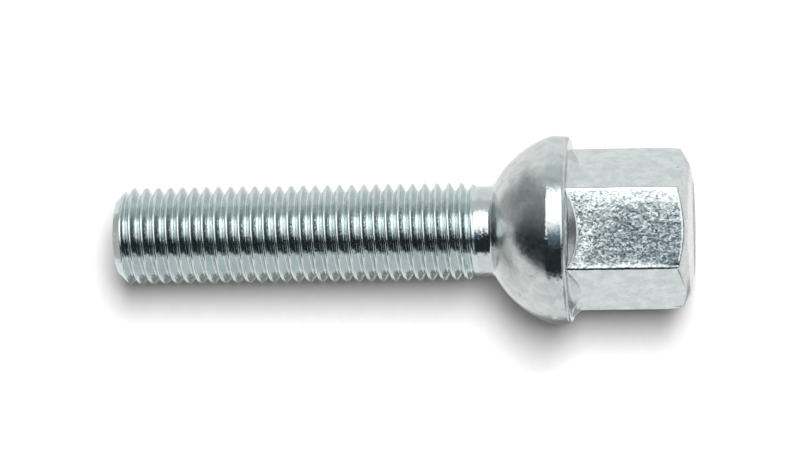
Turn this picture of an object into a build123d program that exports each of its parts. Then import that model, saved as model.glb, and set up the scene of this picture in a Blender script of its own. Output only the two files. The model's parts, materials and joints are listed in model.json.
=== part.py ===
from build123d import *
import math
import os

# A ball-seat wheel bolt: one steel forging with a rolled M12 x 1.5 right-hand thread.
# It stands on the end face of its head. The origin is the middle of that face,
# +Z runs up the shank to the tip, and two flats of the hexagon face -Y and +Y.
# All sizes are in millimetres.

# Thread. The solid carries the thread's outer cylinder, chamfer and run-out.
thread_major_diameter = 11.9        # M12 as rolled, inside tolerance 6g
thread_pitch = 1.5
thread_length = 43.8                # full thread, from the tip's end face
tip_chamfer = 1.3                   # 45 degrees

# Plain neck between the thread and the seat.
neck_length = 1.4
neck_fillet_radius = 0.8            # where the neck meets the ball

# Ball seat and collar.
seat_radius = 12.0                  # R12 ball, centred on the bolt's axis
seat_lip = 0.6                      # the collar's rim lies this far inside the ball's radius
collar_thickness = 2.4              # rear face to the edge of the seat
collar_rim_radius = 0.75            # rounded rear edge

# Hexagon.
key_size = 17.0
key_clearance = 0.1
hexagon_height = 14.75              # end face to the collar's rear face
hexagon_corner_radius = 1.0
root_shoulder = 0.15                # the root cone stands this far outside the corners
root_depth = 0.5                    # and runs this far in under the flats

# End of the head: a flat face, a shallow crown, then the chamfer across the corners.
end_face_diameter = 12.0
crown_width = 1.7
crown_angle = 10.0
chamfer_angle = 30.0

# Radii and diameters that follow from the sizes above.
thread_radius = thread_major_diameter / 2
neck_radius = thread_radius - 0.6495 * thread_pitch / 2     # a rolled thread's blank
run_out_length = thread_pitch / 2
tip_radius = thread_radius - tip_chamfer
collar_radius = seat_radius - seat_lip
across_flats = key_size - key_clearance
sharp_corner_radius = across_flats / 2 / math.cos(math.radians(30))
corner_loss = hexagon_corner_radius * (1 / math.cos(math.radians(30)) - 1)
root_radius = sharp_corner_radius - corner_loss + root_shoulder
root_inner_radius = across_flats / 2 - root_depth

# Heights above the head's end face.
seat_edge_z = hexagon_height + collar_thickness
seat_centre_z = seat_edge_z - math.sqrt(seat_radius**2 - collar_radius**2)
fillet_centre_radius = neck_radius + neck_fillet_radius
fillet_reach = seat_radius + neck_fillet_radius
neck_z = seat_centre_z + math.sqrt(fillet_reach**2 - fillet_centre_radius**2)
run_out_z = neck_z + neck_length
thread_z = run_out_z + run_out_length
tip_z = thread_z + thread_length


def collar_to_tip():
    """The round part of the forging, turned about +Z from its half section."""
    # The fillet touches the ball on the line between their centres.
    touch = seat_radius / fillet_reach
    seat_top = (fillet_centre_radius * touch, seat_centre_z + (neck_z - seat_centre_z) * touch)
    seat_edge = (collar_radius, seat_edge_z)
    rim_start = (collar_radius - collar_rim_radius, hexagon_height)
    rim_end = (collar_radius, hexagon_height + collar_rim_radius)
    with BuildPart() as turned:
        with BuildSketch(Plane.XZ):
            with BuildLine():
                Line((0, hexagon_height), rim_start)
                RadiusArc(rim_start, rim_end, -collar_rim_radius)
                Line(rim_end, seat_edge)
                RadiusArc(seat_edge, seat_top, -seat_radius)
                RadiusArc(seat_top, (neck_radius, neck_z), neck_fillet_radius)
                Polyline(
                    (neck_radius, neck_z),
                    (neck_radius, run_out_z),
                    (thread_radius, thread_z),
                    (thread_radius, tip_z - tip_chamfer),
                    (tip_radius, tip_z),
                    (0, tip_z),
                    (0, hexagon_height),
                )
            make_face()
        revolve(axis=Axis.Z)
    return turned.part


def end_envelope():
    """The turned form that trims the hexagon's end to a crown and a chamfer."""
    end_face_radius = end_face_diameter / 2
    crown_radius = end_face_radius + crown_width
    crown_z = crown_width * math.tan(math.radians(crown_angle))
    chamfer_width = sharp_corner_radius - crown_radius
    outer_radius = crown_radius + 2 * chamfer_width
    outer_z = crown_z + 2 * chamfer_width * math.tan(math.radians(chamfer_angle))
    with BuildPart() as envelope:
        with BuildSketch(Plane.XZ):
            with BuildLine():
                Polyline(
                    (0, 0),
                    (end_face_radius, 0),
                    (crown_radius, crown_z),
                    (outer_radius, outer_z),
                    (outer_radius, seat_edge_z),
                    (0, seat_edge_z),
                    close=True,
                )
            make_face()
        revolve(axis=Axis.Z)
    return envelope.part


def hexagon():
    """The hexagon with rounded corners and its trimmed end."""
    with BuildPart() as head:
        with BuildSketch():
            section = RegularPolygon(across_flats / 2, 6, major_radius=False)
            fillet(section.vertices(), hexagon_corner_radius)
        extrude(amount=hexagon_height)
        add(end_envelope(), mode=Mode.INTERSECT)
    return head.part


def root_cone():
    """The 45 degree cone that carries the flats into the collar's rear face."""
    height = root_radius - root_inner_radius
    with BuildPart() as cone:
        with Locations((0, 0, hexagon_height)):
            Cone(root_inner_radius, root_radius, height, align=(Align.CENTER, Align.CENTER, Align.MAX))
    return cone.part


with BuildPart() as wheel_bolt:
    add(collar_to_tip())
    add(hexagon())
    add(root_cone())

wheel_bolt.part.label = "wheel_bolt"
os.makedirs("parts", exist_ok=True)
export_step(wheel_bolt.part, "parts/wheel_bolt.step")
print("overall length", round(tip_z, 2), "mm, thread from", round(thread_z, 2), "mm")
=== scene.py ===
import json
import math

import bmesh
import bpy
from mathutils import Matrix, Vector


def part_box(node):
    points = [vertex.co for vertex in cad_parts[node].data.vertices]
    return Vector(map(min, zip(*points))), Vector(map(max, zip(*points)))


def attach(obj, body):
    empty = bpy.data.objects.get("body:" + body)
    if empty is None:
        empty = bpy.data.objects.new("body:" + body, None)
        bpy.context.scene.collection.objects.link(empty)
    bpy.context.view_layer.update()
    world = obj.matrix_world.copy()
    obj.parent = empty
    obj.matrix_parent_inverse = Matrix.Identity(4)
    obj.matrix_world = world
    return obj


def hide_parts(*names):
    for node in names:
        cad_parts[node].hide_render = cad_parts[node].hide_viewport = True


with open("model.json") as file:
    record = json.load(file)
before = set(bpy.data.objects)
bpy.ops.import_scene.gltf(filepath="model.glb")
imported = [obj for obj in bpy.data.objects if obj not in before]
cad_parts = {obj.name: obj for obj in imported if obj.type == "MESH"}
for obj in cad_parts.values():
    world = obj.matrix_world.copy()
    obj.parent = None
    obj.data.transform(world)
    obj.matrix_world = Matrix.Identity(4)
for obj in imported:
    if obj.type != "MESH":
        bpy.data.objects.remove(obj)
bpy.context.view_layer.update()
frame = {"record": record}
mm = 0.001
perMetre = 1000.0

mounts = {mount["name"]: mount for mount in frame["record"]["mounts"]}
boltLow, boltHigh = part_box("wheel_bolt")
boltLength = (boltHigh.z - boltLow.z) / mm
collarRadius = boltHigh.x / mm
print("frame loaded, bolt", round(boltLength, 2), "mm long")

view = {
    "lens": 156.03,
    "aim": (0.95, 0.0, 35.72),     # mm
    "distance": 423.4,             # mm
    "tilt": 7.25,                  # degrees that the head comes nearer than the tip
    "roll": -0.855,
    "swing": -1.1,                 # turns the facing flat a little towards +X
    "sensor": 36,
    "clip": (0.01, 20),            # metres
}


def makeCamera():
    data = bpy.data.cameras.new("camera")
    data.lens = view["lens"]
    data.sensor_width = view["sensor"]
    data.clip_start, data.clip_end = view["clip"]
    camera = bpy.data.objects.new("camera", data)
    bpy.context.scene.collection.objects.link(camera)
    tilt = math.radians(view["tilt"])
    back = Vector((0, -math.cos(tilt), -math.sin(tilt)))
    up = Vector((1, 0, 0))
    axes = Matrix((up.cross(back), up, back)).transposed()
    swing = Matrix.Rotation(math.radians(view["swing"]), 3, "Z")
    turn = swing @ axes @ Matrix.Rotation(math.radians(view["roll"]), 3, "Z")
    place = Vector(view["aim"]) + swing @ back * view["distance"]
    camera.matrix_world = Matrix.Translation(place * mm) @ turn.to_4x4()
    bpy.context.scene.camera = camera


makeCamera()
print("camera placed")

# all sizes in mm
bolt = {
    "columnsPerCorner": 6,
    "endRings": (2.0, 4.0, 5.5),   # radii of the plain rings on the end face
    "endRound": 0.12,
    "cornerNear": (1.2, 3.6),      # degrees from a corner over which its roll-over fades
    # shares of a flat's width, closer together where it meets the corner before it
    "flatShares": (
        0, 0.012, 0.026, 0.05, 0.1, 0.17, 0.24, 0.31, 0.38,
        0.45, 0.52, 0.59, 0.66, 0.73, 0.8, 0.86, 0.92, 0.97,
    ),
    # shares of a flat's height, from the chamfer to the collar
    "flatHeights": (0, 0.03, 0.07, 0.12, 0.18, 0.25, 0.34, 0.45, 0.56, 0.67, 0.77, 0.86, 0.93, 1.0),
    "flatApothem": 8.45,
    "cornerRadius": 0.42,          # the solid's is 1.0
    "cornerDrop": 0.13,            # the corners roll over towards the chamfer
    "cornerDropReach": 1.6,
    # the flats are crowned: place across from the middle, and rise. They stand up to 0.2 proud
    # of the solid's, so this hexagon is 17.28 across its flats and the solid's is 16.9
    "flatCrown": (
        (-4.46, 0.014), (-4.35, 0.004), (-4.2, 0.0), (-3.6, 0.012), (-2.8, 0.036), (0.0, 0.137),
        (1.5, 0.185), (2.3, 0.201), (3.0, 0.2), (3.5, 0.187), (4.0, 0.164), (4.46, 0.136),
    ),
    "bowDrop": 0.13,               # and fall away a little towards the collar
    "bowReach": 4.6,
    "endFaceRadius": 6.0,
    "crownRadius": 7.7,
    "crownAngle": 10.0,
    "chamferAngle": 30.0,
    "headHeight": 14.75,
    "rootRadius": 9.753,
    "rimRadius": 0.52,             # the solid's is 0.75
    "seatEdge": 16.93,             # the solid's is 17.15
    "seatEdgeRound": 1.8,
    "collarFlare": 0.07,           # at the seat's edge the collar passes the solid's by this
    "neckFillet": 0.6,             # the solid's is 0.8
    "neckRadius": 5.463,
    "neckTop": 25.966,
    # share of the neck's length, and depth of the tool groove there
    "neckRings": ((0.25, 0), (0.5, 0), (0.6, 0.018), (0.7, 0), (0.9, 0)),
    "seatSteps": 22,
    "neckSteps": 7,
    "rimSteps": 6,
    "tipChamfer": 1.3,
    "tipRings": (0.1, 0.6),        # in from the tip's edge
    "edgeBreak": 0.28,
    "rootEdge": 0.12,
    "lipReach": 1.25,              # forging lip at one corner, beside the collar
    "lipRise": 0.85,
    "lipSpread": 7.0,              # degrees
    "shadingWeight": 60,
}

thread = {
    "pitch": 1.5,
    "majorRadius": mounts["thread"]["dims"]["r_mm"],
    "rootRound": 0.16,
    "crestRound": 0.2,
    "phase": 68.6,                 # height of a crest over +X
    "fadeIn": 1.25,                # the groove deepens over this length
}

seatRadius = mounts["ball_seat"]["dims"]["r_mm"]
edgeRadius = collarRadius + bolt["collarFlare"]
seatCentre = bolt["seatEdge"] - math.sqrt(seatRadius**2 - edgeRadius**2)


# the finish that each zone of the bolt takes
zones = {
    "end": "zincEnd", "flat": "zincFlat", "cone": "zincCone", "collar": "zincCollar",
    "seat": "zincSeat", "neck": "zincNeck", "thread": "zincThread", "tip": "zincEnd",
}


def smooth(low, high, value):
    t = min(max((value - low) / (high - low), 0.0), 1.0)
    return t * t * (3 - 2 * t)


def columnAngles():
    # closer together round each corner, and the last one closes the seam
    rounding = bolt["cornerRadius"]
    sharp = bolt["flatApothem"] / math.cos(math.radians(30))
    corner = math.atan2(rounding * 0.5, sharp - rounding * (2 / math.sqrt(3) - math.sqrt(3) / 2))
    angles = []
    for side in range(6):
        middle = math.radians(60 * side)
        half = bolt["columnsPerCorner"] // 2
        for step in range(half):
            angles.append(middle + corner * step / half)
        start = middle + corner
        width = math.radians(60) - 2 * corner
        for share in bolt["flatShares"]:
            angles.append(start + width * share)
        for step in range(half):
            angles.append(middle + math.radians(60) - corner * (half - step) / half)
    angles.append(math.radians(360))
    return angles


def cornerOffset(angle):
    # signed angle to the nearest corner of the hexagon
    sixth = math.radians(60)
    return (angle + sixth / 2) % sixth - sixth / 2


def acrossFlat(angle):
    # place across a flat, from its middle
    offset = cornerOffset(angle)
    middle = math.radians(30)
    return bolt["flatApothem"] * math.tan(offset - middle if offset > 0 else offset + middle)


def flatRise(angle):
    offset = cornerOffset(angle)
    middle = math.radians(30)
    across = acrossFlat(angle)
    crown = bolt["flatCrown"]
    if abs(across) >= crown[-1][0]:
        # round a corner, from the end of one flat to the start of the next
        reach = math.atan2(crown[-1][0], bolt["flatApothem"])
        share = smooth(reach - middle, middle - reach, offset)
        return crown[-1][1] + (crown[0][1] - crown[-1][1]) * share
    for first, second in zip(crown, crown[1:]):
        if first[0] <= across <= second[0]:
            share = (across - first[0]) / (second[0] - first[0])
            return first[1] + (second[1] - first[1]) * share
    return 0


def hexRadius(angle):
    offset = abs(cornerOffset(angle))
    rounding = bolt["cornerRadius"]
    centre = bolt["flatApothem"] / math.cos(math.radians(30)) - rounding * 2 / math.sqrt(3)
    edge = math.atan2(rounding * 0.5, centre + rounding * math.sqrt(3) / 2)
    if offset >= edge:
        return bolt["flatApothem"] / math.cos(math.radians(30) - offset) + flatRise(angle)
    beside = centre * math.sin(offset)
    return centre * math.cos(offset) + math.sqrt(rounding**2 - beside**2) + flatRise(angle)


def flatBow(angle):
    # how far a flat has fallen away where it meets the root cone
    share = acrossFlat(angle) / bolt["flatCrown"][-1][0]
    return bolt["bowDrop"] * max(1 - share**2, 0)


def chamferHeight(radius):
    crownTop = (bolt["crownRadius"] - bolt["endFaceRadius"]) * math.tan(math.radians(bolt["crownAngle"]))
    return crownTop + (radius - bolt["crownRadius"]) * math.tan(math.radians(bolt["chamferAngle"]))


def lipWeight(angle):
    away = math.degrees(abs((angle % math.radians(360)) - math.pi))
    return 1 - smooth(0, bolt["lipSpread"], away)


def headRows(angle):
    # zone, radius and height up one column, from the end face to the edge of the seat
    radius = hexRadius(angle)
    ease = bolt["edgeBreak"]
    full, none = (math.radians(limit) for limit in bolt["cornerNear"])
    near = 1 - smooth(full, none, abs(cornerOffset(angle)))
    face = bolt["endFaceRadius"]
    slope = math.tan(math.radians(bolt["crownAngle"]))
    soft = bolt["endRound"]
    rows = [("end", ring, 0.0) for ring in (*bolt["endRings"], face - soft)]
    rows += [("end", face, 0.008), ("end", face + soft, soft * slope)]
    crownTop = (bolt["crownRadius"] - face) * slope
    for share in (0.3, 0.6, 0.93):
        rows.append(("end", face + (bolt["crownRadius"] - face) * share, crownTop * share))
    rows.append(("end", bolt["crownRadius"] + 0.1, chamferHeight(bolt["crownRadius"] + soft)))
    top = radius - bolt["cornerDrop"] * near
    edge = chamferHeight(top)
    for share in (0.35, 0.7):
        middle = bolt["crownRadius"] + (top - ease - bolt["crownRadius"]) * share
        rows.append(("end", middle, chamferHeight(middle)))
    rows.append(("end", top - ease, chamferHeight(top - ease)))
    rows.append(("end", top - ease * 0.35, chamferHeight(top - ease * 0.35) + ease * 0.12))
    rows.append(("flat", top - ease * 0.08, edge + ease * 0.35))
    low = edge + ease
    bow = flatBow(angle)
    root = bolt["headHeight"] - (bolt["rootRadius"] - radius + bow)
    high = root - bolt["rootEdge"]
    lip = lipWeight(angle) * bolt["lipRise"]
    for share in bolt["flatHeights"]:
        height = low + (high - low) * share
        drop = bolt["cornerDrop"] * near * (1 - smooth(0, bolt["cornerDropReach"], height - low)) ** 1.5
        rise = lip * smooth(bolt["headHeight"] - bolt["lipReach"], bolt["headHeight"], height) ** 1.6
        fall = bow * max(1 - (high - height) / bolt["bowReach"], 0) ** 3
        rows.append(("flat", radius - drop + rise - fall, height))
    radius -= bow
    rise = lip * smooth(bolt["headHeight"] - bolt["lipReach"], bolt["headHeight"], root) ** 1.6
    ease = bolt["rootEdge"]
    rows.append(("cone", radius + rise + ease * 0.25, root + ease * 0.1))
    outer = bolt["rootRadius"] + lip
    rows.append(("cone", radius + rise + ease * 0.8, root + ease * 0.7))
    for share in (0.35, 0.7):
        reach = (outer - radius - rise) * share
        rows.append(("cone", radius + rise + reach, root + (bolt["headHeight"] - root) * share))
    rows.append(("collar", outer + 0.03, bolt["headHeight"] - 0.004))
    rim = collarRadius - bolt["rimRadius"]
    for share in (0.4, 0.85):
        rows.append(("collar", outer + (rim - outer) * share, bolt["headHeight"]))
    for step in range(bolt["rimSteps"] + 1):
        turn = math.radians(90) * step / bolt["rimSteps"]
        rows.append((
            "collar",
            rim + bolt["rimRadius"] * math.sin(turn),
            bolt["headHeight"] + bolt["rimRadius"] * (1 - math.cos(turn)),
        ))
    # a soft edge between the collar and the seat
    turn = seatStart()
    reach = bolt["seatEdgeRound"] * math.tan(turn / 2)
    centre = (edgeRadius - bolt["seatEdgeRound"], bolt["seatEdge"] - reach)
    for share in (0, 0.2, 0.4, 0.6, 0.8):
        lean = turn * share
        rows.append((
            "collar",
            centre[0] + bolt["seatEdgeRound"] * math.cos(lean),
            centre[1] + bolt["seatEdgeRound"] * math.sin(lean),
        ))
    return rows


def seatStart():
    return math.asin((bolt["seatEdge"] - seatCentre) / seatRadius)


def seatRows():
    rows = []
    # the soft edge takes this much of the seat
    start = seatStart() + bolt["seatEdgeRound"] * math.tan(seatStart() / 2) / seatRadius
    reach = seatRadius + bolt["neckFillet"]
    end = math.acos((bolt["neckRadius"] + bolt["neckFillet"]) / reach)
    for step in range(bolt["seatSteps"] + 1):
        turn = start + (end - start) * step / bolt["seatSteps"]
        rows.append(("seat", seatRadius * math.cos(turn), seatCentre + seatRadius * math.sin(turn)))
    middle = (bolt["neckRadius"] + bolt["neckFillet"], seatCentre + reach * math.sin(end))
    for step in range(1, bolt["neckSteps"] + 1):
        turn = end * (1 - step / bolt["neckSteps"])
        rows.append((
            "neck",
            middle[0] - bolt["neckFillet"] * math.cos(turn),
            middle[1] - bolt["neckFillet"] * math.sin(turn),
        ))
    neckStart = middle[1]
    length = bolt["neckTop"] - neckStart
    for share, depth in bolt["neckRings"]:
        rows.append(("neck", bolt["neckRadius"] - depth, neckStart + length * share))
    return rows


def grooveRows():
    # offset along the axis from a crest, and radius, over one pitch
    half = thread["pitch"] / 2
    crest = thread["crestRound"]
    root = thread["rootRound"]
    slope = math.sqrt(3)
    side = []
    for turn in (20, 40, 60):
        lean = math.radians(turn)
        side.append((crest * math.sin(lean), thread["majorRadius"] - crest * (1 - math.cos(lean))))
    flankTop = side[-1]
    sharp = flankTop[1] - slope * (half - flankTop[0])
    centre = sharp + 2 * root
    flankFoot = (half - root * slope / 2, centre - root / 2)
    for share in (0.08, 0.5, 0.92):
        side.append((
            flankTop[0] + (flankFoot[0] - flankTop[0]) * share,
            flankTop[1] + (flankFoot[1] - flankTop[1]) * share,
        ))
    side.append(flankFoot)
    side.append((half - root / 2, centre - root * slope / 2))
    rows = [(0.0, thread["majorRadius"])] + side + [(half, centre - root)]
    rows += [(thread["pitch"] - offset, radius) for offset, radius in reversed(side)]
    return rows


def threadColumn(angle):
    # the rows follow the helix, from the neck to the tip
    groove = grooveRows()
    pitch = thread["pitch"]
    low = bolt["neckTop"]
    high = boltLength
    first = thread["phase"] - pitch * math.ceil((thread["phase"] - low) / pitch + 1)
    turns = math.ceil((high - first) / pitch) + 1
    lift = pitch * angle / math.radians(360)
    rows = []
    for turn in range(turns):
        for offset, radius in groove:
            height = first + turn * pitch + offset + lift
            height = min(max(height, low), high)
            fade = smooth(low, low + thread["fadeIn"], height)
            cut = bolt["neckRadius"] + (radius - bolt["neckRadius"]) * fade
            chamfer = thread["majorRadius"] - bolt["tipChamfer"] + (high - height)
            rows.append(("thread", min(cut, chamfer), height))
    return rows


def tipRows():
    edge = thread["majorRadius"] - bolt["tipChamfer"]
    rows = [("tip", edge - inward, boltLength) for inward in bolt["tipRings"]]
    return rows + [("tip", bolt["endRings"][0], boltLength)]


def makeBolt():
    angles = columnAngles()
    mesh = bpy.data.meshes.new("wheelBolt")
    form = bmesh.new()
    columns = []
    shared = seatRows()
    for angle in angles:
        rows = headRows(angle) + shared + threadColumn(angle) + tipRows()
        verts = []
        for zone, radius, height in rows:
            spot = Vector((radius * math.cos(angle), radius * math.sin(angle), height))
            verts.append(form.verts.new(spot * mm))
        columns.append(verts)
    rowZones = [row[0] for row in rows]
    names = list(zones)
    bottom = form.verts.new((0, 0, 0))
    top = form.verts.new((0, 0, boltLength * mm))
    for left, right in zip(columns, columns[1:]):
        face = form.faces.new((bottom, right[0], left[0]))
        face.material_index = 0
        for row in range(len(left) - 1):
            face = form.faces.new((left[row], right[row], right[row + 1], left[row + 1]))
            face.material_index = names.index(rowZones[row + 1])
        face = form.faces.new((left[-1], right[-1], top))
        face.material_index = names.index("tip")
    bmesh.ops.remove_doubles(form, verts=form.verts, dist=0.5e-6)
    for face in form.faces:
        face.smooth = True
    form.to_mesh(mesh)
    form.free()
    obj = bpy.data.objects.new("wheelBolt", mesh)
    bpy.context.scene.collection.objects.link(obj)
    weighted = obj.modifiers.new("evenShading", "WEIGHTED_NORMAL")
    weighted.weight = bolt["shadingWeight"]
    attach(obj, "root")
    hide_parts("wheel_bolt")
    print("bolt built:", len(mesh.vertices), "vertices,", len(mesh.polygons), "faces")
    return obj


wheelBolt = makeBolt()
wheelBolt.visible_diffuse = False  # its mirror glints stay off the paper


def nodeGroup(name, inputs, outputs):
    group = bpy.data.node_groups.new(name, "ShaderNodeTree")
    for label, kind, value in inputs:
        socket = group.interface.new_socket(label, in_out="INPUT", socket_type=kind)
        if value is not None:
            socket.default_value = value
    for label, kind in outputs:
        group.interface.new_socket(label, in_out="OUTPUT", socket_type=kind)
    return group, group.nodes.new("NodeGroupInput"), group.nodes.new("NodeGroupOutput")


def link(tree, output, target):
    tree.links.new(output, target)


def mathNode(tree, operation, first, second=None, third=None, clamp=False):
    node = tree.nodes.new("ShaderNodeMath")
    node.operation = operation
    node.use_clamp = clamp
    for index, value in enumerate((first, second, third)):
        if value is None:
            continue
        if isinstance(value, (int, float)):
            node.inputs[index].default_value = value
        else:
            link(tree, value, node.inputs[index])
    return node.outputs[0]


def vectorNode(tree, operation, first, second=None):
    node = tree.nodes.new("ShaderNodeVectorMath")
    node.operation = operation
    link(tree, first, node.inputs[0])
    if isinstance(second, tuple):
        node.inputs[1].default_value = second
    elif second is not None:
        link(tree, second, node.inputs[1])
    return node.outputs[0]


def noiseNode(tree, vector, scale, detail=3.0, roughness=0.5, distortion=0.0):
    node = tree.nodes.new("ShaderNodeTexNoise")
    link(tree, vector, node.inputs["Vector"])
    labels = ("Scale", "Detail", "Roughness", "Distortion")
    for label, value in zip(labels, (scale, detail, roughness, distortion)):
        if isinstance(value, (int, float)):
            node.inputs[label].default_value = value
        else:
            link(tree, value, node.inputs[label])
    return node.outputs["Fac"]


def ranged(tree, value, fromLow, fromHigh, toLow, toHigh, kind="LINEAR"):
    node = tree.nodes.new("ShaderNodeMapRange")
    node.interpolation_type = kind
    link(tree, value, node.inputs["Value"])
    labels = ("From Min", "From Max", "To Min", "To Max")
    for label, number in zip(labels, (fromLow, fromHigh, toLow, toHigh)):
        if isinstance(number, (int, float)):
            node.inputs[label].default_value = number
        else:
            link(tree, number, node.inputs[label])
    return node.outputs["Result"]


def mixedColour(tree, share, first, second):
    node = tree.nodes.new("ShaderNodeMix")
    node.data_type = "RGBA"
    link(tree, share, node.inputs["Factor"])
    for index, colour in ((6, first), (7, second)):
        if isinstance(colour, tuple):
            node.inputs[index].default_value = (*colour, 1)
        else:
            link(tree, colour, node.inputs[index])
    return node.outputs[2]


mottle = {
    "patchSpan": (0.32, 0.68),
    "smudgeSpan": (0.6, 0.72),
    "smudgeShrink": 3.2,           # smudges are this much smaller than patches
    "smudgeShift": (13.7, 4.1, 8.3),
}


# cloudy patches left by the plating bath, with a fine grain over them
def makeMottleGroup():
    group, start, end = nodeGroup(
        "platingMottle",
        [
            ("Vector", "NodeSocketVector", None),
            ("Patch Scale", "NodeSocketFloat", 0.25),
            ("Grain Scale", "NodeSocketFloat", 4.0),
        ],
        [("Patches", "NodeSocketFloat"), ("Grain", "NodeSocketFloat"), ("Smudges", "NodeSocketFloat")],
    )
    patches = noiseNode(group, start.outputs["Vector"], start.outputs["Patch Scale"], 4.0, 0.6, 0.4)
    grain = noiseNode(group, start.outputs["Vector"], start.outputs["Grain Scale"], 1.5, 0.5)
    clouds = ranged(group, patches, *mottle["patchSpan"], 0.0, 1.0, "SMOOTHSTEP")
    link(group, clouds, end.inputs["Patches"])
    link(group, grain, end.inputs["Grain"])
    # handling marks: few, ragged and small
    smudgeScale = mathNode(group, "MULTIPLY", start.outputs["Patch Scale"], mottle["smudgeShrink"])
    moved = vectorNode(group, "ADD", start.outputs["Vector"], mottle["smudgeShift"])
    smudges = noiseNode(group, moved, smudgeScale, 4.0, 0.7, 0.5)
    marks = ranged(group, smudges, *mottle["smudgeSpan"], 0.0, 1.0, "SMOOTHSTEP")
    link(group, marks, end.inputs["Smudges"])
    return group


fineRatio = 3.1                    # fine work lines to broad ones


# fine lines that a tool or a rolling die leaves along one direction
def makeLinesGroup():
    group, start, end = nodeGroup(
        "workLines",
        [
            ("Vector", "NodeSocketVector", None),
            ("Stretch", "NodeSocketVector", (1.0, 1.0, 1.0)),
            ("Scale", "NodeSocketFloat", 1.0),
        ],
        [("Broad", "NodeSocketFloat"), ("Fine", "NodeSocketFloat")],
    )
    vector = vectorNode(group, "MULTIPLY", start.outputs["Vector"], start.outputs["Stretch"])
    broad = noiseNode(group, vector, start.outputs["Scale"], 1.0, 0.5)
    fineScale = mathNode(group, "MULTIPLY", start.outputs["Scale"], fineRatio)
    fine = noiseNode(group, vector, fineScale, 2.0, 0.6)
    link(group, broad, end.inputs["Broad"])
    link(group, fine, end.inputs["Fine"])
    return group


pits = {
    "rarity": 4.0,                 # higher leaves fewer large ones
    "floor": 0.4,                  # share of a pit's radius that is flat
}


# small pits and nicks, few and uneven
def makePitsGroup():
    group, start, end = nodeGroup(
        "pits",
        [
            ("Vector", "NodeSocketVector", None),
            ("Scale", "NodeSocketFloat", 1.0),
            ("Size", "NodeSocketFloat", 0.2),
        ],
        [("Mask", "NodeSocketFloat")],
    )
    cells = group.nodes.new("ShaderNodeTexVoronoi")
    link(group, start.outputs["Vector"], cells.inputs["Vector"])
    link(group, start.outputs["Scale"], cells.inputs["Scale"])
    chance = group.nodes.new("ShaderNodeSeparateColor")
    link(group, cells.outputs["Color"], chance.inputs[0])
    rarity = mathNode(group, "POWER", chance.outputs[0], pits["rarity"])
    reach = mathNode(group, "MULTIPLY", rarity, start.outputs["Size"])
    inner = mathNode(group, "MULTIPLY", reach, pits["floor"])
    mask = ranged(group, cells.outputs["Distance"], inner, reach, 1.0, 0.0, "SMOOTHSTEP")
    link(group, mask, end.inputs["Mask"])
    return group


crystalStretch = (1.0, 1.0, 0.7)


# crystals of the plating, each tilted a little its own way
def makeSpangleGroup():
    group, start, end = nodeGroup(
        "spangle",
        [
            ("Vector", "NodeSocketVector", None),
            ("Normal", "NodeSocketVector", None),
            ("Scale", "NodeSocketFloat", 4.0),
            ("Tilt", "NodeSocketFloat", 0.05),
        ],
        [("Normal", "NodeSocketVector")],
    )
    cells = group.nodes.new("ShaderNodeTexVoronoi")
    drawn = vectorNode(group, "MULTIPLY", start.outputs["Vector"], crystalStretch)
    link(group, drawn, cells.inputs["Vector"])
    link(group, start.outputs["Scale"], cells.inputs["Scale"])
    lean = vectorNode(group, "SUBTRACT", cells.outputs["Color"], (0.5, 0.5, 0.5))
    spread = group.nodes.new("ShaderNodeVectorMath")
    spread.operation = "SCALE"
    link(group, lean, spread.inputs[0])
    link(group, start.outputs["Tilt"], spread.inputs["Scale"])
    tilted = vectorNode(group, "ADD", spread.outputs[0], start.outputs["Normal"])
    link(group, vectorNode(group, "NORMALIZE", tilted), end.inputs["Normal"])
    return group


groups = {
    "mottle": makeMottleGroup(),
    "spangle": makeSpangleGroup(),
    "lines": makeLinesGroup(),
    "pits": makePitsGroup(),
}


def placed(tree, group, vector, **values):
    node = tree.nodes.new("ShaderNodeGroup")
    node.node_tree = groups[group]
    link(tree, vector, node.inputs["Vector"])
    for label, value in values.items():
        node.inputs[label.replace("_", " ")].default_value = value
    return node


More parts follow.
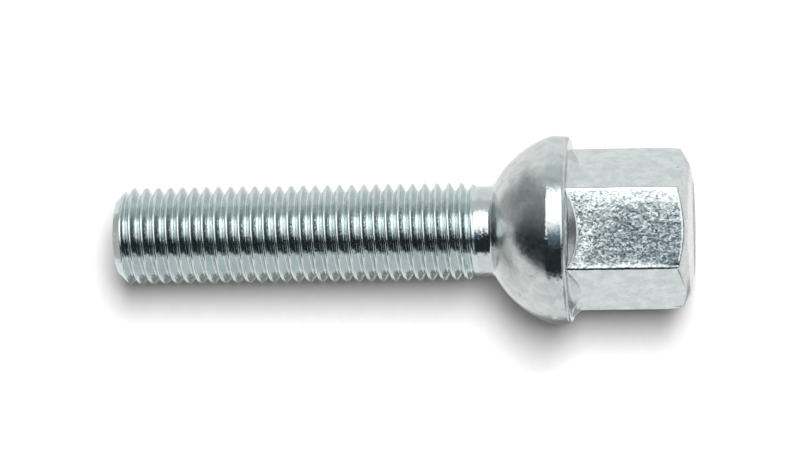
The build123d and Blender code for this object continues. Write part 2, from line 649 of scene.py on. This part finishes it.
# one entry for each finish of the plated steel; heights are in mm
finishes = {
    "zincEnd": {
        "bright": (0.66, 0.68, 0.67), "dull": (0.56, 0.59, 0.59),
        "roughness": (0.22, 0.34), "patchScale": 0.6, "grainScale": 5.0, "grainHeight": 0.004,
        "stretch": (1.0, 1.0, 1.0), "lineScale": 1.2, "broadHeight": 0.006, "fineHeight": 0.002,
        "pitScale": 0.8, "pitSize": 0.22, "pitDepth": 0.006,
        "spangleScale": 2.5, "spangleTilt": 0.03, "smudge": 0.35,
    },
    "zincFlat": {
        "bright": (0.655, 0.705, 0.7), "dull": (0.535, 0.59, 0.59),
        "roughness": (0.07, 0.13), "patchScale": 0.7, "grainScale": 5.4, "grainHeight": 0.004,
        "stretch": (1.0, 1.0, 0.07), "lineScale": 2.6, "broadHeight": 0.008, "fineHeight": 0.0014,
        "pitScale": 0.7, "pitSize": 0.2, "pitDepth": 0.006, "patchHeight": 0.013,
        "spangleScale": 5.6, "spangleTilt": 0.115, "smudge": 0.22,
    },
    "zincCone": {
        "bright": (0.6, 0.64, 0.64), "dull": (0.5, 0.55, 0.56),
        "roughness": (0.18, 0.26), "patchScale": 0.4, "grainScale": 4.0, "grainHeight": 0.001,
        "stretch": (0.1, 0.1, 1.0), "lineScale": 3.0, "broadHeight": 0.01, "fineHeight": 0.003,
        "pitScale": 0.8, "pitSize": 0.1, "pitDepth": 0.006,
        "spangleScale": 3.0, "spangleTilt": 0.03, "smudge": 0.2,
    },
    "zincCollar": {
        "bright": (0.6, 0.635, 0.64), "dull": (0.46, 0.5, 0.505),
        "roughness": (0.11, 0.19), "patchScale": 0.45, "grainScale": 2.6, "grainHeight": 0.008,
        "stretch": (0.12, 0.12, 1.0), "lineScale": 2.0, "broadHeight": 0.003, "fineHeight": 0.0005,
        "pitScale": 0.9, "pitSize": 0.2, "pitDepth": 0.006,
        "spangleScale": 3.6, "spangleTilt": 0.06, "smudge": 0.4,
    },
    "zincSeat": {
        "bright": (0.635, 0.665, 0.66), "dull": (0.475, 0.505, 0.505),
        "roughness": (0.17, 0.25), "patchScale": 0.45, "grainScale": 2.0, "grainHeight": 0.0006,
        "stretch": (0.12, 0.12, 1.0), "lineScale": 2.0, "broadHeight": 0.003, "fineHeight": 0.0005,
        "pitScale": 0.9, "pitSize": 0.2, "pitDepth": 0.006,
        "spangleScale": 2.5, "spangleTilt": 0.012, "smudge": 0.42,
    },
    "zincNeck": {
        "bright": (0.61, 0.65, 0.65), "dull": (0.55, 0.59, 0.59),
        "roughness": (0.08, 0.14), "patchScale": 0.4, "grainScale": 4.5, "grainHeight": 0.004,
        "stretch": (0.3, 0.3, 1.0), "lineScale": 2.5, "broadHeight": 0.002, "fineHeight": 0.001,
        "pitScale": 1.6, "pitSize": 0.25, "pitDepth": 0.006,
        "spangleScale": 5.0, "spangleTilt": 0.1, "smudge": 0.2,
    },
    "zincThread": {
        "bright": (0.635, 0.7, 0.7), "dull": (0.565, 0.635, 0.645),
        "roughness": (0.09, 0.15), "patchScale": 0.3, "grainScale": 4.5, "grainHeight": 0.003,
        "stretch": (0.18, 0.18, 1.0), "lineScale": 6.0, "broadHeight": 0.0016, "fineHeight": 0.0006,
        "pitScale": 1.3, "pitSize": 0.14, "pitDepth": 0.006,
        "spangleScale": 4.5, "spangleTilt": 0.06, "smudge": 0.1,
    },
}


# what all the finishes share
plating = {
    "stain": (0.16, 0.18, 0.19),
    "pitStain": 0.35,
    "grainSpan": (0.3, 0.7),
}


def makeFinish(name):
    finish = finishes[name]
    material = bpy.data.materials.new(name)
    material.use_nodes = True
    tree = material.node_tree
    tree.nodes.clear()
    where = tree.nodes.new("ShaderNodeTexCoord")
    vector = vectorNode(tree, "MULTIPLY", where.outputs["Object"], (perMetre, perMetre, perMetre))
    clouds = placed(
        tree, "mottle", vector,
        Patch_Scale=finish["patchScale"], Grain_Scale=finish["grainScale"],
    )
    lines = placed(tree, "lines", vector, Stretch=finish["stretch"], Scale=finish["lineScale"])
    nicks = placed(tree, "pits", vector, Scale=finish["pitScale"], Size=finish["pitSize"])
    shader = tree.nodes.new("ShaderNodeBsdfPrincipled")
    shader.inputs["Metallic"].default_value = 1.0
    colour = mixedColour(tree, clouds.outputs["Patches"], finish["bright"], finish["dull"])
    stain = mathNode(tree, "MULTIPLY", nicks.outputs["Mask"], plating["pitStain"])
    stain = mathNode(tree, "MULTIPLY_ADD", clouds.outputs["Smudges"], finish["smudge"], stain)
    link(tree, mixedColour(tree, stain, colour, plating["stain"]), shader.inputs["Base Color"])
    rough = ranged(tree, clouds.outputs["Grain"], *plating["grainSpan"], *finish["roughness"])
    link(tree, rough, shader.inputs["Roughness"])
    height = mathNode(tree, "MULTIPLY", lines.outputs["Broad"], finish["broadHeight"])
    height = mathNode(tree, "MULTIPLY_ADD", lines.outputs["Fine"], finish["fineHeight"], height)
    height = mathNode(tree, "MULTIPLY_ADD", clouds.outputs["Grain"], finish["grainHeight"], height)
    patchHeight = finish.get("patchHeight", 0.0)
    height = mathNode(tree, "MULTIPLY_ADD", clouds.outputs["Patches"], patchHeight, height)
    height = mathNode(tree, "MULTIPLY_ADD", nicks.outputs["Mask"], -finish["pitDepth"], height)
    bump = tree.nodes.new("ShaderNodeBump")
    bump.inputs["Strength"].default_value = 1.0
    bump.inputs["Distance"].default_value = mm
    link(tree, height, bump.inputs["Height"])
    spangle = placed(tree, "spangle", vector, Scale=finish["spangleScale"], Tilt=finish["spangleTilt"])
    link(tree, bump.outputs["Normal"], spangle.inputs["Normal"])
    link(tree, spangle.outputs["Normal"], shader.inputs["Normal"])
    end = tree.nodes.new("ShaderNodeOutputMaterial")
    link(tree, shader.outputs[0], end.inputs[0])
    return material


made = {name: makeFinish(name) for name in finishes}
# one slot for each of the bolt's zones, in their order
for zone in zones:
    wheelBolt.data.materials.append(made[zones[zone]])
print("plated finishes made")

# degrees round the bolt from -Y towards +X, and up from level; how soft each side and both ends are
cards = {
    "softBox": {"across": (-9, 62), "up": (-26, 22), "edge": (34, 28, 8), "level": 3.0, "reach": 820},
    "brow": {"across": (-12, 40), "up": (4, 26), "edge": (10, 22, 9), "level": 1.7, "reach": 815},
    "lowWhite": {"across": (-25, 60), "up": (-85, -6), "edge": (20, 20, 14), "level": 1.4, "reach": 830},
    "blueDim": {
        "across": (-24, 10), "up": (-60, 6), "edge": (14, 12, 4),
        "level": 0.22, "tint": (0.7, 1.0, 1.3), "reach": 845,
    },
    "greySide": {
        "across": (50, 94), "up": (-70, 44), "edge": (10, 12, 6),
        "level": 0.72, "tint": (0.95, 1.0, 1.0), "reach": 860,
    },
    "greyHood": {
        "across": (-25, 121), "up": (40, 86), "edge": (95, 24, 4),
        "level": 0.38, "tint": (0.94, 1.0, 1.02), "reach": 900,
    },
    "greySill": {
        "across": (-25, 84), "up": (10, 46), "edge": (80, 14, 7),
        "level": 0.36, "tint": (0.94, 1.0, 1.02), "reach": 905,
    },
    "darkFlag": {
        "across": (-68, 66), "up": (-66, 85), "edge": (14, 10, 5),
        "level": 0.03, "tint": (0.75, 1.0, 1.15), "reach": 950,
    },
    "zenith": {"across": (0, 360), "up": (77, 100), "edge": (1, 1, 4), "level": 0.75, "reach": 960},
    "overhead": {
        "across": (95, 265), "up": (50, 100), "edge": (15, 15, 12),
        "level": 0.54, "tint": (1.0, 0.99, 0.97), "reach": 965,
    },
    # the next two cards are dark sheets that only the metal sees: painted shadow that stands for the bolt's
    # own shadow on the table beside it, which the lower edges of the thread, neck and collar reflect
    "rearShade": {
        "across": (181, 232), "up": (-10, 20), "edge": (5, 20, 6),
        "level": 0.27, "tint": (0.97, 1.0, 0.95), "reach": 950,
    },
    "rearLowShade": {
        "across": (188, 209), "up": (-36, -4), "edge": (4, 8, 6),
        "level": 0.27, "tint": (0.97, 1.0, 0.95), "reach": 948,
    },
    "crestGrey": {
        "across": (146, 174), "up": (-30, -4), "edge": (6, 4, 5),
        "level": 0.78, "tint": (1.0, 0.98, 0.99), "reach": 945,
    },
    "lowGrey": {"across": (-68, -28), "up": (-64, -10), "edge": (12, 12, 10), "level": 0.4, "reach": 940},
    "rimShade": {"across": (-130, -72), "up": (-52, -11), "edge": (12, 12, 8), "level": 0.45, "reach": 942},
    "underGlow": {"across": (162, 198), "up": (-62, -12), "edge": (12, 12, 6), "level": 1.2, "reach": 950},
    # the next two cards are dark sheets that only the metal sees: painted contact shadow that stands for the
    # shade on the floor under the head, which the root cone below the facing flat reflects
    "underShade": {"across": (-80, 80), "up": (-100, -60), "edge": (20, 20, 8), "level": 0.18, "reach": 825},
    "underShadeCap": {"across": (0, 360), "up": (-100, -80), "edge": (1, 1, 4), "level": 0.18, "reach": 824},
}

studio = {
    "centre": (0.0, 0.0, 35.0),    # mm
    "fill": 0.16,
    "cardSteps": (24, 16),         # across and up
    "floorRadius": 190.0,
    "floorSides": 64,
    "paperLean": 0.045,            # of the backdrop, per mm up
    "paperGap": 0.15,              # between the backdrop and the collar
    "paperSpan": (-45, 155),       # low and high edge of the backdrop
    "paperHalfWidth": 160,
}

papers = {
    "floor": {"glow": 0.42, "fadesEdgeOn": False},
    "backdrop": {"glow": 0.0, "fadesEdgeOn": True},
}

paperStock = {
    "grainScale": 900.0,
    "grainSpan": (0.3, 0.7),
    "tone": (0.79, 0.81),
    "edgeOn": (0.7, 0.9),          # facing values between which it fades
}

# degrees round the bolt and up, distance and size in mm
lamps = {
    "keyLamp": {
        "across": 14.5, "up": -11.0, "distance": 700.0,
        "size": (360.0, 240.0), "power": 7.0, "lights": ("backdrop",),
    },
    "topLamp": {
        "across": 30.0, "up": 55.0, "distance": 600.0,
        "size": (260.0, 260.0), "power": 5.0, "lights": ("floor",),
    },
}


def makeCardGroup():
    group, start, end = nodeGroup(
        "softEdge",
        [
            ("Vector", "NodeSocketVector", None),
            ("Left", "NodeSocketFloat", 0.0),
            ("Right", "NodeSocketFloat", 0.0),
            ("Low", "NodeSocketFloat", 0.0),
            ("High", "NodeSocketFloat", 0.0),
            ("Left Edge", "NodeSocketFloat", 5.0),
            ("Right Edge", "NodeSocketFloat", 5.0),
            ("End Edge", "NodeSocketFloat", 5.0),
        ],
        [("Cover", "NodeSocketFloat")],
    )
    cover = None
    # the card's UV map holds degrees across and up
    split = group.nodes.new("ShaderNodeSeparateXYZ")
    link(group, start.outputs["Vector"], split.inputs[0])
    for axis, side, edge, sign in (
        ("X", "Left", "Left Edge", 1),
        ("X", "Right", "Right Edge", -1),
        ("Y", "Low", "End Edge", 1),
        ("Y", "High", "End Edge", -1),
    ):
        inner = mathNode(group, "MULTIPLY_ADD", start.outputs[edge], sign, start.outputs[side])
        part = ranged(group, split.outputs[axis], start.outputs[side], inner, 0.0, 1.0, "SMOOTHSTEP")
        cover = part if cover is None else mathNode(group, "MULTIPLY", cover, part)
    link(group, cover, end.inputs["Cover"])
    return group


groups["softEdge"] = makeCardGroup()


def hideFromAllButMetal(obj):
    obj.visible_camera = False
    obj.visible_diffuse = False
    obj.visible_shadow = False
    obj.visible_volume_scatter = False


def makeCard(name):
    card = cards[name]
    mesh = bpy.data.meshes.new(name)
    left, right = card["across"]
    low, high = card["up"]
    # an end past straight up or down stays full
    bottom, top = max(low, -90), min(high, 90)
    wide, tall = studio["cardSteps"]
    centre = Vector(studio["centre"])
    verts, faces, degrees = [], [], []
    for row in range(tall + 1):
        up = bottom + (top - bottom) * row / tall
        for column in range(wide + 1):
            across = left + (right - left) * column / wide
            a, e = math.radians(across), math.radians(up)
            out = Vector((math.sin(a) * math.cos(e), -math.cos(a) * math.cos(e), math.sin(e)))
            verts.append((centre + out * card["reach"]) * mm)
            degrees.append((across, up))
    for row in range(tall):
        for column in range(wide):
            first = row * (wide + 1) + column
            faces.append((first, first + 1, first + wide + 2, first + wide + 1))
    mesh.from_pydata(verts, [], faces)
    spread = mesh.uv_layers.new(name="degrees")
    for loop in mesh.loops:
        spread.data[loop.index].uv = degrees[loop.vertex_index]
    obj = bpy.data.objects.new(name, mesh)
    bpy.context.scene.collection.objects.link(obj)
    hideFromAllButMetal(obj)
    material = bpy.data.materials.new(name)
    material.use_nodes = True
    tree = material.node_tree
    tree.nodes.clear()
    where = tree.nodes.new("ShaderNodeUVMap")
    node = placed(
        tree, "softEdge", where.outputs[0],
        Left=left, Right=right, Low=low, High=high,
        Left_Edge=card["edge"][0], Right_Edge=card["edge"][1], End_Edge=card["edge"][2],
    )
    clear = tree.nodes.new("ShaderNodeBsdfTransparent")
    glow = tree.nodes.new("ShaderNodeEmission")
    glow.inputs["Color"].default_value = (*card.get("tint", (1.0, 1.0, 1.0)), 1)
    glow.inputs["Strength"].default_value = card["level"]
    mix = tree.nodes.new("ShaderNodeMixShader")
    link(tree, node.outputs["Cover"], mix.inputs[0])
    link(tree, clear.outputs[0], mix.inputs[1])
    link(tree, glow.outputs[0], mix.inputs[2])
    end = tree.nodes.new("ShaderNodeOutputMaterial")
    link(tree, mix.outputs[0], end.inputs[0])
    material.cycles.emission_sampling = "NONE"
    mesh.materials.append(material)


for name in cards:
    makeCard(name)


def seenMask(tree):
    # camera, glossy and transmission rays
    path = tree.nodes.new("ShaderNodeLightPath")
    both = mathNode(tree, "ADD", path.outputs["Is Camera Ray"], path.outputs["Is Glossy Ray"])
    return mathNode(tree, "ADD", both, path.outputs["Is Transmission Ray"], clamp=True), path


def makeWorld():
    world = bpy.data.worlds.new("studio")
    bpy.context.scene.world = world
    world.use_nodes = True
    tree = world.node_tree
    tree.nodes.clear()
    seen, _ = seenMask(tree)
    sky = tree.nodes.new("ShaderNodeBackground")
    sky.inputs["Color"].default_value = (1, 1, 1, 1)
    link(tree, ranged(tree, seen, 0.0, 1.0, studio["fill"], 1.0), sky.inputs["Strength"])
    end = tree.nodes.new("ShaderNodeOutputWorld")
    link(tree, sky.outputs[0], end.inputs["Surface"])


# white paper that shows only from its front, and keeps the shadow
def makePaper(name):
    paper = papers[name]
    material = bpy.data.materials.new(name + "Paper")
    material.use_nodes = True
    tree = material.node_tree
    tree.nodes.clear()
    seen, path = seenMask(tree)
    matt = tree.nodes.new("ShaderNodeBsdfDiffuse")
    where = tree.nodes.new("ShaderNodeTexCoord")
    grain = noiseNode(tree, where.outputs["Object"], paperStock["grainScale"], 2.0)
    tone = ranged(tree, grain, *paperStock["grainSpan"], *paperStock["tone"])
    pale = tree.nodes.new("ShaderNodeCombineColor")
    for index in range(3):
        link(tree, tone, pale.inputs[index])
    link(tree, pale.outputs[0], matt.inputs["Color"])
    glow = tree.nodes.new("ShaderNodeEmission")
    link(tree, mathNode(tree, "MULTIPLY", seen, paper["glow"]), glow.inputs["Strength"])
    lit = tree.nodes.new("ShaderNodeAddShader")
    link(tree, matt.outputs[0], lit.inputs[0])
    link(tree, glow.outputs[0], lit.inputs[1])
    behind = tree.nodes.new("ShaderNodeNewGeometry")
    # metal looks through the paper to the studio's white
    hidden = mathNode(tree, "MAXIMUM", behind.outputs["Backfacing"], path.outputs["Is Glossy Ray"])
    if paper["fadesEdgeOn"]:
        facing = tree.nodes.new("ShaderNodeLayerWeight")
        facing.inputs["Blend"].default_value = 0.5
        edgeOn = ranged(tree, facing.outputs["Facing"], *paperStock["edgeOn"], 0.0, 1.0, "SMOOTHSTEP")
        hidden = mathNode(tree, "MAXIMUM", hidden, edgeOn)
    clear = tree.nodes.new("ShaderNodeBsdfTransparent")
    mix = tree.nodes.new("ShaderNodeMixShader")
    link(tree, hidden, mix.inputs[0])
    link(tree, lit.outputs[0], mix.inputs[1])
    link(tree, clear.outputs[0], mix.inputs[2])
    end = tree.nodes.new("ShaderNodeOutputMaterial")
    link(tree, mix.outputs[0], end.inputs[0])
    return material


def makeStage():
    reach = studio["floorRadius"] * mm
    floor = bpy.data.meshes.new("floor")
    sides = studio["floorSides"]
    turns = [math.tau * n / sides for n in range(sides)]
    ring = [(reach * math.cos(turn), reach * math.sin(turn), 0) for turn in turns]
    floor.from_pydata(ring, [], [tuple(range(sides))])
    floor.materials.append(makePaper("floor"))
    floorObj = bpy.data.objects.new("floor", floor)
    floorObj.visible_shadow = False
    floorObj.visible_diffuse = False
    # behind the bolt, beside its collar and leaning towards its tip, and on below the floor
    touch = edgeRadius + studio["paperGap"]
    low, high = (
        Vector((0, touch - studio["paperLean"] * (height - bolt["seatEdge"]), height))
        for height in studio["paperSpan"]
    )
    side = Vector((studio["paperHalfWidth"], 0, 0))
    backdrop = bpy.data.meshes.new("backdrop")
    corners = [low - side, low + side, high + side, high - side]
    backdrop.from_pydata([corner * mm for corner in corners], [], [(0, 1, 2, 3)])
    backdrop.materials.append(makePaper("backdrop"))
    backdropObj = bpy.data.objects.new("backdrop", backdrop)
    backdropObj.visible_shadow = False
    backdropObj.visible_diffuse = False
    for obj in (floorObj, backdropObj):
        bpy.context.scene.collection.objects.link(obj)
    return {"floor": floorObj, "backdrop": backdropObj}


def makeLamp(name, lit):
    lamp = lamps[name]
    data = bpy.data.lights.new(name, "AREA")
    data.shape = "RECTANGLE"
    data.size = lamp["size"][0] * mm
    data.size_y = lamp["size"][1] * mm
    data.energy = lamp["power"]
    obj = bpy.data.objects.new(name, data)
    a, e = math.radians(lamp["across"]), math.radians(lamp["up"])
    out = Vector((math.sin(a) * math.cos(e), -math.cos(a) * math.cos(e), math.sin(e)))
    obj.location = (Vector(studio["centre"]) + out * lamp["distance"]) * mm
    obj.rotation_mode = "QUATERNION"
    obj.rotation_quaternion = (-out).to_track_quat("-Z", "Y")
    obj.visible_glossy = False
    bpy.context.scene.collection.objects.link(obj)
    receivers = bpy.data.collections.new(name + "Lights")
    receivers.objects.link(wheelBolt)
    for paper in lamp["lights"]:
        receivers.objects.link(lit[paper])
    obj.light_linking.receiver_collection = receivers


makeWorld()
stagePapers = makeStage()
for name in lamps:
    makeLamp(name, stagePapers)
bpy.context.scene.view_settings.view_transform = "Standard"
print("studio set up")
